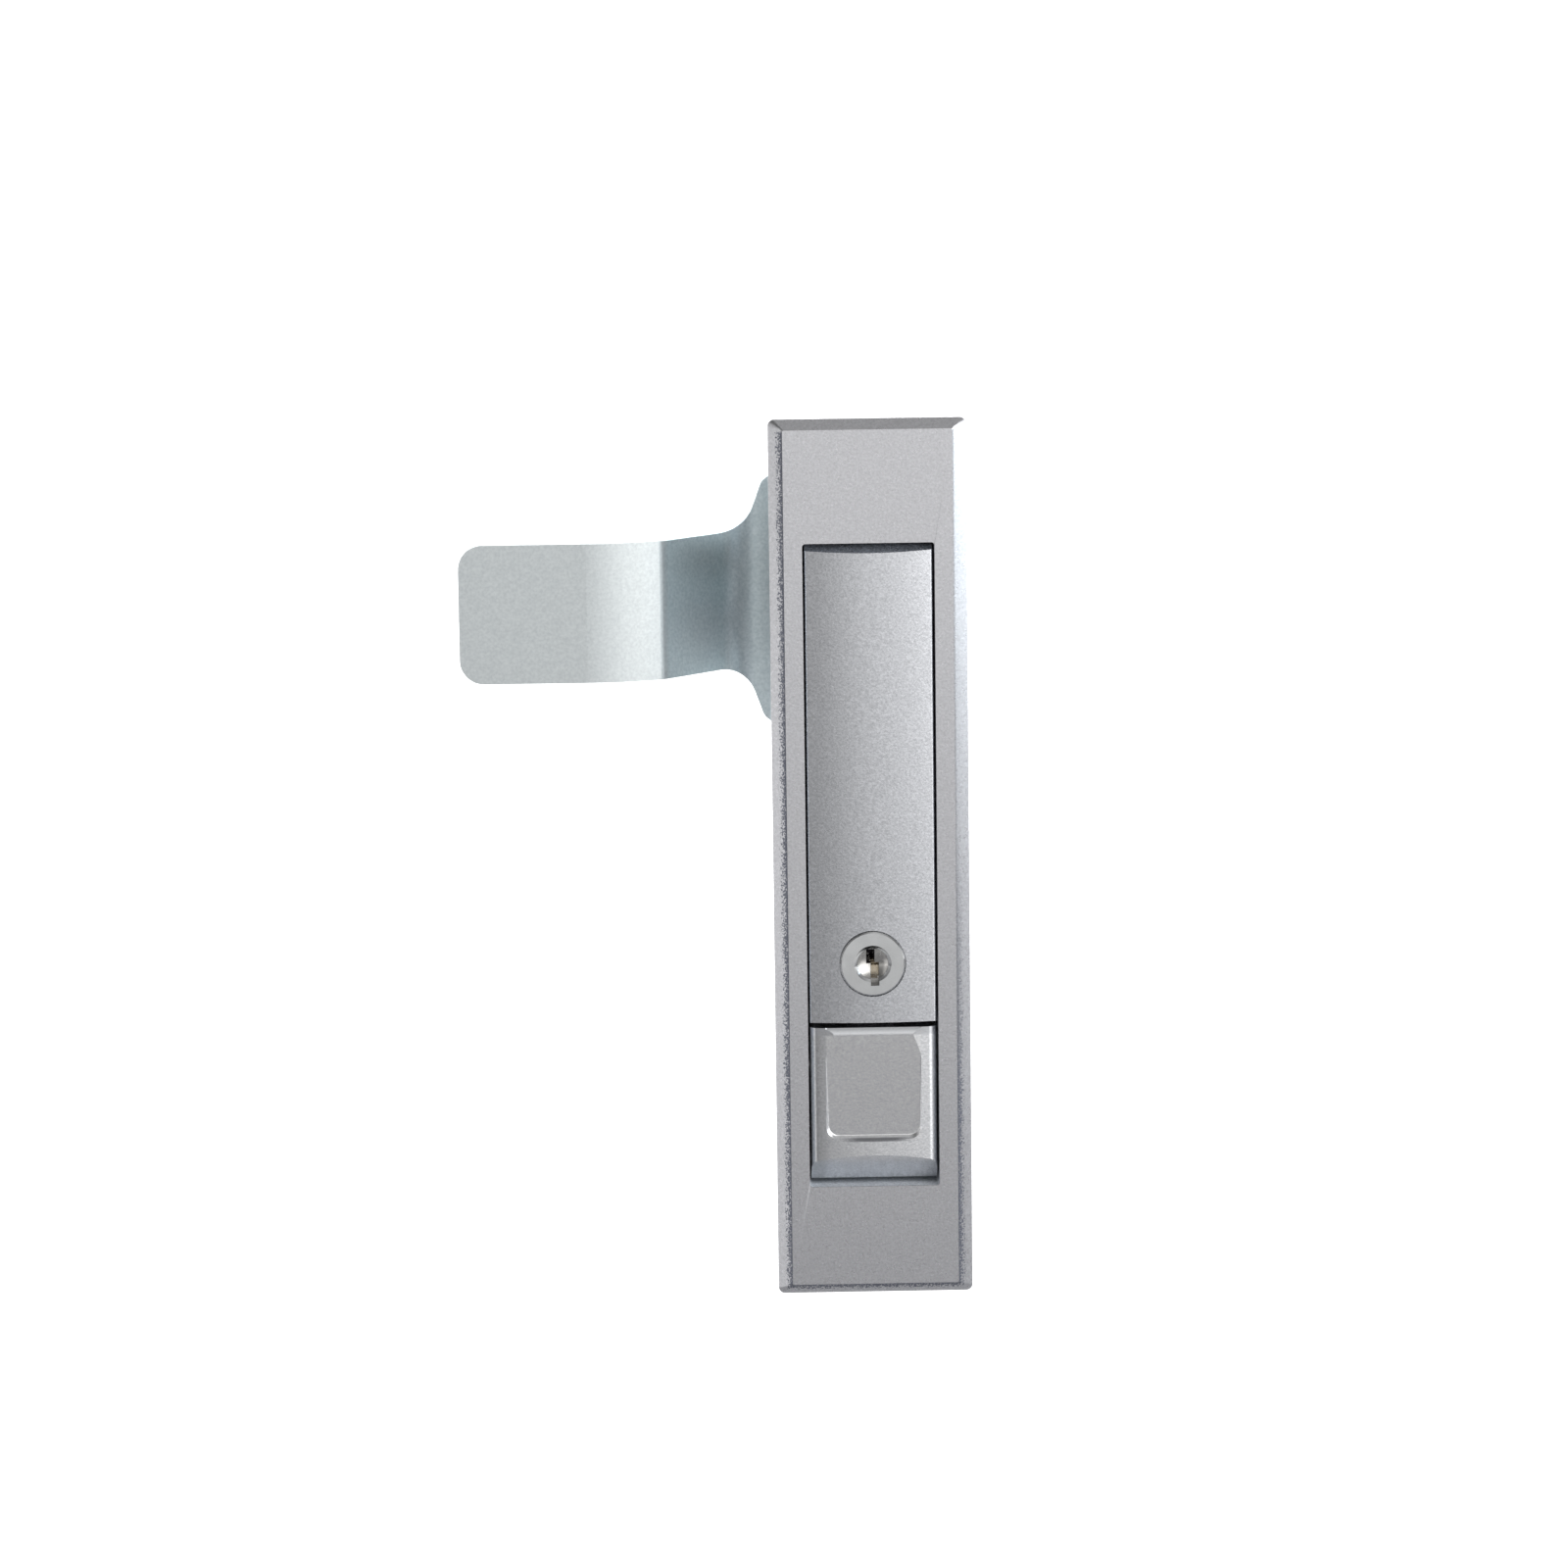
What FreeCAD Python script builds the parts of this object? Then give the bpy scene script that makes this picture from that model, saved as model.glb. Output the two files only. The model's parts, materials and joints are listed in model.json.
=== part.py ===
import FreeCAD, Part
import math
import os

from FreeCAD import Vector

# Flat cabinet lock with a flush swing handle, in millimetres.
# X runs across the lock, +Z up, and -Y points out of the door to the user.
# The origin is the middle of the bezel's back face, where it lies on the door.

# Bezel and pocket
BEZEL_WIDTH = 36.2
BEZEL_HEIGHT = 163.4
BEZEL_THICKNESS = 3.0
BEZEL_CORNER = 1.2
BEVEL_SIDE = 2.6
BEVEL_END = 1.9
BEVEL_DEPTH = 1.6
BEVEL_STEP = 0.35
BEVEL_STEP_RUN = 0.4
BEVEL_CORNER = 0.3
POCKET_WIDTH = 24.2
POCKET_TOP_MARGIN = 22.7
POCKET_BOTTOM_MARGIN = 20.5
POCKET_FLOOR = 14.0
POCKET_CORNER = 0.6
WALL = 1.8
FLOOR = 2.0

# Swing handle
HANDLE_GAP_SIDE = 0.4
HANDLE_GAP_TOP = 0.4
BUTTON_SPACE = 31.1
HANDLE_EDGE = -2.6
HANDLE_CROWN = 1.0
HANDLE_BACK = 5.0
HANDLE_WALL = 2.2
HANDLE_SKIN = 1.0
HANDLE_ROUND = 0.45
HEAD_ROOM_ABOVE = 6.9
HEAD_ROOM_BELOW = 8.1
HOLLOW_CORNER = 1.0
NOSE_WIDTH = 8.0
NOSE_FRONT = 3.0
NOSE_BACK = 4.8

# Hinge of the handle
HINGE_Y = 2.2
HINGE_DROP = 13.4
HINGE_PIN_RADIUS = 1.5
HINGE_PIN_RECESS = 0.5
LUG_RADIUS = 3.4
LUG_WIDTH = 13.0
LUG_SLOT = 5.2
LUG_SLOT_FLOOR = 2.0
HEAD_GAP = 1.6
HEAD_BASE = 2.1

# Push button
BUTTON_GAP = 1.0
BUTTON_FRONT_LIFT = 6.0
BUTTON_BACK_LIFT = 1.0
BUTTON_SLANT_BACK = 0.3
BUTTON_BACK = 6.0
BUTTON_PIVOT_Y = 8.0
BUTTON_PIVOT_LIFT = 21.2
BUTTON_PIN_RADIUS = 1.25
BUTTON_CHEEK = 2.6
BUTTON_EAR_RADIUS = 3.4
BUTTON_WALL = 2.0
BUTTON_ROUND = 1.6
DISH_RIM = 2.5
DISH_BOTTOM_INSET = 2.8
DISH_TOP_DEPTH = 0.4
DISH_DEPTH = 1.3
DISH_ROLL = 1.5
DISH_ROLL_RADIUS = 3.6
DISH_DRAFT = 0.7
DISH_CORNER = 2.6
DISH_FOOT = 0.35

# Key cylinder
CYLINDER_LIFT = 11.1
BARREL_RADIUS = 6.0
BARREL_SHANK = 5.6
BARREL_PROUD = 0.25
BARREL_HEAD = 3.0
BARREL_BACK = 9.0
BARREL_LIP = 1.5
BARREL_EDGE = 0.25
BOWL_RADIUS = 3.45
BOWL_DEPTH = 1.5
RIM_NOTCH = 4.0
RIM_NOTCH_DEPTH = 6.0
PLUG_FACE_RADIUS = 2.85
PLUG_RADIUS = 4.3
PLUG_TAIL = 4.0
KEYWAY_WIDTH = 1.5
KEYWAY_HEIGHT = 5.4
KEYWAY_STEP = 0.8
WAFER_COUNT = 5
WAFER_THICKNESS = 0.9
WAFER_PITCH = 1.6
WAFER_WIDTH = 4.6
WAFER_HEIGHT = 7.4
WAFER_WINDOW_WIDTH = 3.0
WAFER_WINDOW_HEIGHT = 3.2
WAFER_WINDOW_DROP = 0.9
WAFER_FIRST = 0.9
WAFER_STAGGER = 0.2
CLIP_RADIUS = 7.3
CLIP_THICKNESS = 0.9
CLIP_GROOVE = 0.5
CLIP_BITE = 1.0
PAWL_BITE = 0.9
PAWL_WIDTH = 5.6
PAWL_THICKNESS = 1.7
PAWL_HUB = 4.2
PAWL_LEAN = 6.0
PAWL_SCREW_RADIUS = 1.3
PAWL_SCREW_HEAD_RADIUS = 2.6
PAWL_SCREW_HEAD = 1.3
PAWL_SCREW_LENGTH = 3.2
PAWL_SCREW_SLOT = 0.7
PAWL_SCREW_SLOT_DEPTH = 0.5
KEEPER_HALF = 5.4

# Spindle, tongue and what clamps it
BOSS_INSET = 0.1
BOSS_HEIGHT = 8.4
JOURNAL_RADIUS = 6.0
JOURNAL_PROUD = 0.1
COLLAR_RADIUS = 7.3
COLLAR_THICKNESS = 1.0
SQUARE = 8.0
THREAD_RADIUS = 3.0
THREAD_PROUD = 1.8
STOP_RADIUS = 10.8
STOP_ROOT = 7.9
STOP_THICKNESS = 1.5
STOP_POST_WIDTH = 3.6
STOP_CLEARANCE_ANGLE = 1.5
SPINDLE_ANGLE = 90.0
TONGUE_THICKNESS = 3.0
TONGUE_REACH = 75.4
TONGUE_WIDTH = 25.8
TONGUE_TIP_CORNER = 4.5
TONGUE_BEND_START = 51.75
TONGUE_BEND_RADIUS = 30.8
TONGUE_BEND_ANGLE = 26.0
TONGUE_CREASE_RADIUS = 3.6
TONGUE_SLOPE_ANGLE = 49.0
TONGUE_FOOT_RADIUS = 8.0
JOGGLE = 19.0
HUB_RADIUS = 29.2
HUB_SHOULDER_ANGLE = 49.5
HUB_FLANK_ANGLE = 70.0
HUB_RIGHT = 13.0
HUB_CORNER = 2.6
HUB_FILLET = 7.0
ROD_HOLE_RADIUS = 2.6
ROD_HOLE_REACH = 23.5
WASHER_RADIUS = 6.4
WASHER_THICKNESS = 1.2
SPRING_WASHER_RADIUS = 5.4
SPRING_WASHER_THICKNESS = 1.4
SPRING_WASHER_GAP = 1.2
NUT_FLATS = 10.0
NUT_HEIGHT = 5.2
NUT_CHAMFER = 0.2

# Springs
HANDLE_SPRING_WIRE = 0.7
HANDLE_SPRING_RADIUS = 2.9
HANDLE_SPRING_LEG = 7.0
BUTTON_SPRING_RADIUS = 2.8
BUTTON_SPRING_WIRE = 0.7
BUTTON_SPRING_LIFT = 9.7
BUTTON_SPRING_PEG_RADIUS = 1.8
BUTTON_SPRING_PEG = 2.4

# Clamping to the door
PANEL_THICKNESS = 2.0
PANEL_GAP = 0.1
SCREW_FROM_BOX = 8.5
SCREW_BOSS_RADIUS = 4.2
SCREW_RADIUS = 2.0
SCREW_DEPTH = 3.6
SCREW_HEAD_RADIUS = 3.9
SCREW_HEAD = 2.6
SCREW_SLOT = 1.0
SCREW_SLOT_DEPTH = 1.2
SCREW_CROSS = 4.6
SCREW_WASHER_RADIUS = 4.6
SCREW_WASHER_THICKNESS = 0.9
BRACKET_THICKNESS = 2.5
BRACKET_OVERHANG = 2.8
BRACKET_INSIDE = 6.9
BRACKET_OUTSIDE = 7.9
BRACKET_LIP = 3.2
BRACKET_CORNER = 2.0

# Named clearances
RUNNING = 0.05
SEAT = 0.1
SHAFT_HOLE = 0.2
LOOSE = 0.3

# Places worked out from the sizes above
POCKET_TOP = BEZEL_HEIGHT / 2 - POCKET_TOP_MARGIN
POCKET_BOTTOM = POCKET_BOTTOM_MARGIN - BEZEL_HEIGHT / 2
HINGE_Z = POCKET_TOP - HINGE_DROP
HANDLE_BOTTOM = POCKET_BOTTOM + BUTTON_SPACE
CYLINDER_Z = HANDLE_BOTTOM + CYLINDER_LIFT
BUTTON_TOP = HANDLE_BOTTOM - BUTTON_GAP
BUTTON_FRONT_END = POCKET_BOTTOM + BUTTON_FRONT_LIFT
BUTTON_BACK_END = POCKET_BOTTOM + BUTTON_BACK_LIFT
BUTTON_PIVOT_Z = POCKET_BOTTOM + BUTTON_PIVOT_LIFT
BUTTON_SPRING_Z = POCKET_BOTTOM + BUTTON_SPRING_LIFT
DISH_BOTTOM = BUTTON_FRONT_END + DISH_BOTTOM_INSET
UPPER_SCREW_Z = POCKET_TOP + WALL + SCREW_FROM_BOX
LOWER_SCREW_Z = POCKET_BOTTOM - WALL - SCREW_FROM_BOX
HANDLE_WIDTH = POCKET_WIDTH - 2 * HANDLE_GAP_SIDE
HANDLE_END_RADIUS = POCKET_TOP - HANDLE_GAP_TOP - HINGE_Z
FRONT = HANDLE_EDGE - HANDLE_CROWN
HANDLE_SKIN_BACK = HANDLE_EDGE + HANDLE_SKIN
BOX_WIDTH = POCKET_WIDTH + 2 * WALL
BOX_BACK = POCKET_FLOOR + FLOOR
BOSS_RADIUS = POCKET_WIDTH / 2 - BOSS_INSET
BOSS_END = BOX_BACK + BOSS_HEIGHT
BRACKET_WIDTH = BOX_WIDTH + 2 * BRACKET_OVERHANG
HINGE_PIN_LENGTH = HANDLE_WIDTH - 2 * HINGE_PIN_RECESS
HEAD_RADIUS = POCKET_WIDTH / 2 - HEAD_GAP
HEAD_FRONT = POCKET_FLOOR - HEAD_BASE
DISH_WIDTH = HANDLE_WIDTH - 2 * DISH_RIM
PAWL_REACH = POCKET_WIDTH / 2 + PAWL_BITE
COLLAR_FRONT = POCKET_FLOOR - RUNNING - COLLAR_THICKNESS
JOURNAL_END = BOSS_END + JOURNAL_PROUD
HUB_FRONT = JOURNAL_END + STOP_THICKNESS
HUB_BACK = HUB_FRONT + TONGUE_THICKNESS
BLADE_FRONT = HUB_FRONT - JOGGLE
BRACKET_FRONT = PANEL_THICKNESS + PANEL_GAP
BRACKET_BACK = BRACKET_FRONT + BRACKET_THICKNESS
BARREL_FRONT = FRONT - BARREL_PROUD
BARREL_SHOULDER = BARREL_FRONT + BARREL_HEAD
PLUG_SHOULDER = BARREL_FRONT + BOWL_DEPTH + BARREL_LIP
PAWL_FRONT = BARREL_BACK + LOOSE
NUT_FRONT = HUB_BACK + WASHER_THICKNESS + SPRING_WASHER_THICKNESS
NUT_BACK = NUT_FRONT + NUT_HEIGHT
THREAD_END = NUT_BACK + THREAD_PROUD
FAR = 200.0


def box(x0, x1, y0, y1, z0, z1):
    return Part.makeBox(x1 - x0, y1 - y0, z1 - z0, Vector(x0, y0, z0))


def rod_y(radius, y0, y1, x=0.0, z=0.0):
    return Part.makeCylinder(radius, y1 - y0, Vector(x, y0, z), Vector(0, 1, 0))


def rod_x(radius, x0, x1, y, z):
    return Part.makeCylinder(radius, x1 - x0, Vector(x0, y, z), Vector(1, 0, 0))


def tube_y(outer, inner, y0, y1, x=0.0, z=0.0):
    return rod_y(outer, y0, y1, x, z).cut(rod_y(inner, y0 - 1, y1 + 1, x, z))


def fused(first, *others):
    return first.fuse(list(others)).removeSplitter()


def prism_y(points, y0, y1):
    """A straight-sided outline in X and Z, run from y0 to y1."""
    corners = [Vector(x, y0, z) for x, z in points]
    face = Part.Face(Part.makePolygon(corners + corners[:1]))
    return face.extrude(Vector(0, y1 - y0, 0))


def prism_x(points, half_width):
    """A straight-sided outline in Y and Z, run over both sides of the middle plane."""
    corners = [Vector(-half_width, y, z) for y, z in points]
    face = Part.Face(Part.makePolygon(corners + corners[:1]))
    return face.extrude(Vector(2 * half_width, 0, 0))


def rounded_rectangle(y, x0, x1, z0, z1, radius):
    """A rectangle in a plane of constant y, with round corners."""
    diagonal = radius * (1 - math.sqrt(0.5))
    edges = []
    corners = [(x1, z0, -1, 1), (x1, z1, -1, -1), (x0, z1, 1, -1), (x0, z0, 1, 1)]
    tangents = []
    for n, (x, z, sx, sz) in enumerate(corners):
        on_z = Vector(x, y, z + sz * radius)
        on_x = Vector(x + sx * radius, y, z)
        start, end = (on_x, on_z) if n % 2 == 0 else (on_z, on_x)
        middle = Vector(x + sx * diagonal, y, z + sz * diagonal)
        tangents.append((start, middle, end))
    for n, (start, middle, end) in enumerate(tangents):
        edges.append(Part.Arc(start, middle, end).toShape())
        edges.append(Part.LineSegment(end, tangents[(n + 1) % 4][0]).toShape())
    return Part.Wire(edges)


def rounded_block(x0, x1, y0, y1, z0, z1, radius):
    face = Part.Face(rounded_rectangle(y0, x0, x1, z0, z1, radius))
    return face.extrude(Vector(0, y1 - y0, 0))


def hexagon_y(flats, y0, y1, x, z):
    reach = flats / 2 / math.cos(math.pi / 6)
    turns = [math.pi / 3 * n for n in range(6)]
    return prism_y([(x + reach * math.cos(t), z + reach * math.sin(t)) for t in turns], y0, y1)


def crowned_bar(z0, z1, back):
    """The section that the handle and the button share: flat sides under a crowned front."""
    side = HANDLE_WIDTH / 2
    left = Vector(-side, HANDLE_EDGE, z0)
    right = Vector(side, HANDLE_EDGE, z0)
    crest = Vector(0, FRONT, z0)
    back_right = Vector(side, back, z0)
    back_left = Vector(-side, back, z0)
    edges = [
        Part.Arc(left, crest, right).toShape(),
        Part.LineSegment(right, back_right).toShape(),
        Part.LineSegment(back_right, back_left).toShape(),
        Part.LineSegment(back_left, left).toShape(),
    ]
    return Part.Face(Part.Wire(edges)).extrude(Vector(0, 0, z1 - z0))


def soften_long_edges(bar, radius):
    """Round the two long front edges of a crowned bar."""
    side = HANDLE_WIDTH / 2
    picked = []
    for edge in bar.Edges:
        box_of = edge.BoundBox
        upright = box_of.XLength < 0.01 and box_of.YLength < 0.01
        on_front = abs(box_of.YMin - HANDLE_EDGE) < 0.01 and abs(abs(box_of.XMin) - side) < 0.01
        if upright and on_front:
            picked.append(edge)
    return bar.makeFillet(radius, picked)


# Housing

def bezel_outline(y, side, end, corner):
    """The bezel's outline at one depth, drawn in from its long sides and its ends."""
    half_width = BEZEL_WIDTH / 2 - side
    half_height = BEZEL_HEIGHT / 2 - end
    return rounded_rectangle(y, -half_width, half_width, -half_height, half_height, corner)


def bezel_plate():
    """Plate with a broad bevel all round and a small step up from the bevel to the face."""
    shoulder = BEVEL_DEPTH - BEZEL_THICKNESS
    rim = bezel_outline(shoulder, 0, 0, BEZEL_CORNER)
    edge = Part.Face(rim).extrude(Vector(0, -shoulder, 0))
    side = BEVEL_SIDE - BEVEL_STEP_RUN
    end = BEVEL_END - BEVEL_STEP_RUN
    ledge = bezel_outline(BEVEL_STEP - BEZEL_THICKNESS, side, end, BEVEL_CORNER)
    face = bezel_outline(-BEZEL_THICKNESS, BEVEL_SIDE, BEVEL_END, BEVEL_CORNER)
    bevel = Part.makeLoft([rim, ledge], True, True)
    step = Part.makeLoft([ledge, face], True, True)
    return fused(edge, bevel, step)


def screw_bosses():
    end = BRACKET_FRONT
    return [rod_y(SCREW_BOSS_RADIUS, -SEAT, end, 0, z) for z in (UPPER_SCREW_Z, LOWER_SCREW_Z)]


def stop_post():
    half = STOP_POST_WIDTH / 2
    low = HINGE_Z - STOP_RADIUS
    high = HINGE_Z - STOP_ROOT - LOOSE
    end = HUB_FRONT - LOOSE
    return box(-half, half, BOSS_END - SEAT, end, low, high)


def spring_peg():
    top = POCKET_FLOOR - BUTTON_SPRING_PEG
    return rod_y(BUTTON_SPRING_PEG_RADIUS, top, POCKET_FLOOR + SEAT, 0, BUTTON_SPRING_Z)


def pawl_keepers():
    """Blind slots in both side walls, which the pawl turns into when the handle is locked."""
    reach = PAWL_REACH + LOOSE
    return box(
        -reach, reach,
        PAWL_FRONT - LOOSE - SEAT, PAWL_FRONT + PAWL_THICKNESS + LOOSE + SEAT,
        CYLINDER_Z - KEEPER_HALF, CYLINDER_Z + KEEPER_HALF,
    )


def housing():
    half = POCKET_WIDTH / 2
    side = BOX_WIDTH / 2
    body = fused(
        bezel_plate(),
        rounded_block(-side, side, -SEAT, BOX_BACK, POCKET_BOTTOM - WALL, POCKET_TOP + WALL, WALL),
        rod_y(BOSS_RADIUS, BOX_BACK - SEAT, BOSS_END, 0, HINGE_Z),
        stop_post(),
        *screw_bosses(),
    )
    pocket = rounded_block(
        -half, half, -BEZEL_THICKNESS - 1, POCKET_FLOOR, POCKET_BOTTOM, POCKET_TOP, POCKET_CORNER
    )
    body = body.cut(pocket)
    body = body.fuse(spring_peg())
    body = body.cut(rod_y(JOURNAL_RADIUS + RUNNING, POCKET_FLOOR - 1, BOSS_END + 1, 0, HINGE_Z))
    body = body.cut(pawl_keepers())
    pin_reach = side + 1
    body = body.cut(rod_x(BUTTON_PIN_RADIUS, -pin_reach, pin_reach, BUTTON_PIVOT_Y, BUTTON_PIVOT_Z))
    for z in (UPPER_SCREW_Z, LOWER_SCREW_Z):
        body = body.cut(rod_y(SCREW_RADIUS, BRACKET_FRONT - SCREW_DEPTH, BRACKET_FRONT + 1, 0, z))
    return body.removeSplitter()


# Hinge head, which carries the handle

def hinge_head():
    half = LUG_WIDTH / 2
    lug = rod_x(LUG_RADIUS, -half, half, HINGE_Y, HINGE_Z)
    stem = box(-half, half, HINGE_Y, HEAD_FRONT + SEAT, HINGE_Z - LUG_RADIUS, HINGE_Z + LUG_RADIUS)
    base = rod_y(HEAD_RADIUS, HEAD_FRONT, POCKET_FLOOR, 0, HINGE_Z)
    head = fused(lug, stem, base)
    slot = LUG_SLOT / 2
    slot_floor = HINGE_Y + LUG_RADIUS + LUG_SLOT_FLOOR
    head = head.cut(box(
        -slot, slot, HINGE_Y - LUG_RADIUS - 1, slot_floor,
        HINGE_Z - LUG_RADIUS - 1, HINGE_Z + LUG_RADIUS + 1,
    ))
    head = head.cut(rod_x(HINGE_PIN_RADIUS + RUNNING, -FAR, FAR, HINGE_Y, HINGE_Z))
    recess = rod_y(COLLAR_RADIUS + LOOSE, COLLAR_FRONT - SEAT, POCKET_FLOOR + 1, 0, HINGE_Z)
    return head.cut(recess)


def handle_spring():
    """Torsion spring on the hinge pin, its coils taken together, with one leg on each side."""
    half = LUG_SLOT / 2 - LOOSE
    wire = HANDLE_SPRING_WIRE
    coils = rod_x(HANDLE_SPRING_RADIUS, -half, half, HINGE_Y, HINGE_Z)
    front = HANDLE_SKIN_BACK + LOOSE
    skin_leg = box(half - wire, half, front, front + wire, HINGE_Z - HANDLE_SPRING_LEG, HINGE_Z)
    low = HINGE_Z - HANDLE_SPRING_RADIUS
    head_leg = box(-half, -half + wire, HINGE_Y, HINGE_Y + LUG_RADIUS + LUG_SLOT_FLOOR, low, low + wire)
    spring = fused(coils, skin_leg, head_leg)
    bore = HANDLE_SPRING_RADIUS - wire
    return spring.cut(rod_x(bore, -half - 1, half + 1, HINGE_Y, HINGE_Z))


# Handle group

def handle_profile():
    """Side view of the handle: a straight bar whose top end is an arc about the hinge."""
    radius = HANDLE_END_RADIUS
    front = FRONT - 2
    start = Vector(-FAR, front, HINGE_Z + math.sqrt(radius ** 2 - (front - HINGE_Y) ** 2))
    end = Vector(-FAR, HANDLE_BACK, HINGE_Z + math.sqrt(radius ** 2 - (HANDLE_BACK - HINGE_Y) ** 2))
    crest = Vector(-FAR, HINGE_Y, HINGE_Z + radius)
    low_back = Vector(-FAR, HANDLE_BACK, HANDLE_BOTTOM)
    low_front = Vector(-FAR, front, HANDLE_BOTTOM)
    edges = [
        Part.Arc(start, crest, end).toShape(),
        Part.LineSegment(end, low_back).toShape(),
        Part.LineSegment(low_back, low_front).toShape(),
        Part.LineSegment(low_front, start).toShape(),
    ]
    return Part.Face(Part.Wire(edges)).extrude(Vector(2 * FAR, 0, 0))


def handle():
    bar = soften_long_edges(crowned_bar(HANDLE_BOTTOM, POCKET_TOP + 1, HANDLE_BACK), HANDLE_ROUND)
    bar = bar.common(handle_profile())
    skin = HANDLE_SKIN_BACK
    cheek = LUG_WIDTH / 2 + LOOSE + SEAT
    bar = bar.cut(box(
        -cheek, cheek, skin, HANDLE_BACK + 1,
        HINGE_Z - HEAD_ROOM_BELOW, HINGE_Z + HEAD_ROOM_ABOVE,
    ))
    inside = HANDLE_WIDTH / 2 - HANDLE_WALL
    hollow_top = HINGE_Z - HEAD_ROOM_BELOW - HANDLE_WALL
    hollow_bottom = CYLINDER_Z + CLIP_RADIUS + LOOSE
    bar = bar.cut(rounded_block(
        -inside, inside, skin, HANDLE_BACK + 1,
        hollow_bottom, hollow_top, HOLLOW_CORNER,
    ))
    nose_half = NOSE_WIDTH / 2
    nose = box(-nose_half, nose_half, NOSE_FRONT, NOSE_BACK, BUTTON_TOP + LOOSE, HANDLE_BOTTOM + SEAT)
    bar = bar.fuse(nose)
    bar = bar.cut(rod_y(BARREL_RADIUS + SHAFT_HOLE, -FAR, BARREL_SHOULDER, 0, CYLINDER_Z))
    bar = bar.cut(rod_y(BARREL_SHANK + RUNNING, -FAR, FAR, 0, CYLINDER_Z))
    return bar.cut(hinge_pin())


def hinge_pin():
    half = HINGE_PIN_LENGTH / 2
    return rod_x(HINGE_PIN_RADIUS, -half, half, HINGE_Y, HINGE_Z)


def clip_place():
    start = HANDLE_BACK + RUNNING
    return start, start + CLIP_THICKNESS


def bowl():
    """Ball that hollows the cylinder's face, so that the key finds its way to the middle."""
    ball = (BOWL_RADIUS ** 2 + BOWL_DEPTH ** 2) / (2 * BOWL_DEPTH)
    return Part.makeSphere(ball, Vector(0, BARREL_FRONT + BOWL_DEPTH - ball, CYLINDER_Z))


def keyway_sides():
    """Left and right side of the keyway's upper and lower half, which are stepped apart."""
    half = KEYWAY_WIDTH / 2
    shift = KEYWAY_STEP / 2
    return (-shift - half, half - shift), (shift - half, half + shift)


def cylinder_barrel():
    barrel = fused(
        rod_y(BARREL_RADIUS, BARREL_FRONT, BARREL_SHOULDER, 0, CYLINDER_Z),
        rod_y(BARREL_SHANK, BARREL_SHOULDER - SEAT, BARREL_BACK, 0, CYLINDER_Z),
    )
    rim = [edge for edge in barrel.Edges if abs(edge.BoundBox.YMax - BARREL_FRONT) < 0.01]
    barrel = barrel.makeChamfer(BARREL_EDGE, rim)
    barrel = barrel.cut(bowl())
    barrel = barrel.cut(rod_y(PLUG_FACE_RADIUS + RUNNING, BARREL_FRONT, PLUG_SHOULDER + 1, 0, CYLINDER_Z))
    shoulder = PLUG_SHOULDER - RUNNING
    barrel = barrel.cut(rod_y(PLUG_RADIUS + RUNNING, shoulder, BARREL_BACK + 1, 0, CYLINDER_Z))
    left, right = keyway_sides()[1]
    notch_back = BARREL_FRONT + RIM_NOTCH_DEPTH
    barrel = barrel.cut(box(left, right, BARREL_FRONT - 1, notch_back, CYLINDER_Z - RIM_NOTCH, CYLINDER_Z))
    start, end = clip_place()
    groove = tube_y(
        BARREL_SHANK + 1, BARREL_SHANK - CLIP_GROOVE,
        start - RUNNING, end + RUNNING, 0, CYLINDER_Z,
    )
    return barrel.cut(groove)


def cylinder_clip():
    """Spring clip in the barrel's groove, open at one side."""
    start, end = clip_place()
    ring = tube_y(CLIP_RADIUS, BARREL_SHANK - CLIP_GROOVE + RUNNING, start, end, 0, CYLINDER_Z)
    mouth = BARREL_SHANK - CLIP_GROOVE - CLIP_BITE
    return ring.cut(box(0, FAR, start - 1, end + 1, CYLINDER_Z - mouth, CYLINDER_Z + mouth))


def wafer_start(n):
    return PLUG_SHOULDER + WAFER_FIRST + n * WAFER_PITCH


def keyway():
    half = KEYWAY_HEIGHT / 2
    end = wafer_start(WAFER_COUNT - 1) + WAFER_THICKNESS + LOOSE
    upper, lower = keyway_sides()
    return fused(
        box(*upper, BARREL_FRONT, end, CYLINDER_Z - SEAT, CYLINDER_Z + half),
        box(*lower, BARREL_FRONT, end, CYLINDER_Z - half, CYLINDER_Z + SEAT),
    )


def cylinder_plug():
    tail = PLUG_TAIL / 2
    end = PAWL_FRONT + PAWL_THICKNESS
    plug = fused(
        rod_y(PLUG_FACE_RADIUS, BARREL_FRONT, PLUG_SHOULDER + SEAT, 0, CYLINDER_Z),
        rod_y(PLUG_RADIUS, PLUG_SHOULDER, PAWL_FRONT, 0, CYLINDER_Z),
        box(-tail, tail, PAWL_FRONT - SEAT, end, CYLINDER_Z - tail, CYLINDER_Z + tail),
    )
    plug = plug.cut(bowl()).cut(keyway())
    half_width = WAFER_WIDTH / 2 + RUNNING
    half_height = WAFER_HEIGHT / 2 + 2 * WAFER_STAGGER
    for n in range(WAFER_COUNT):
        start = wafer_start(n)
        plug = plug.cut(box(
            -half_width, half_width, start - RUNNING, start + WAFER_THICKNESS + RUNNING,
            CYLINDER_Z - half_height, CYLINDER_Z + half_height,
        ))
    return plug.cut(rod_y(PAWL_SCREW_RADIUS, end - PAWL_SCREW_LENGTH, FAR, 0, CYLINDER_Z))


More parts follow.
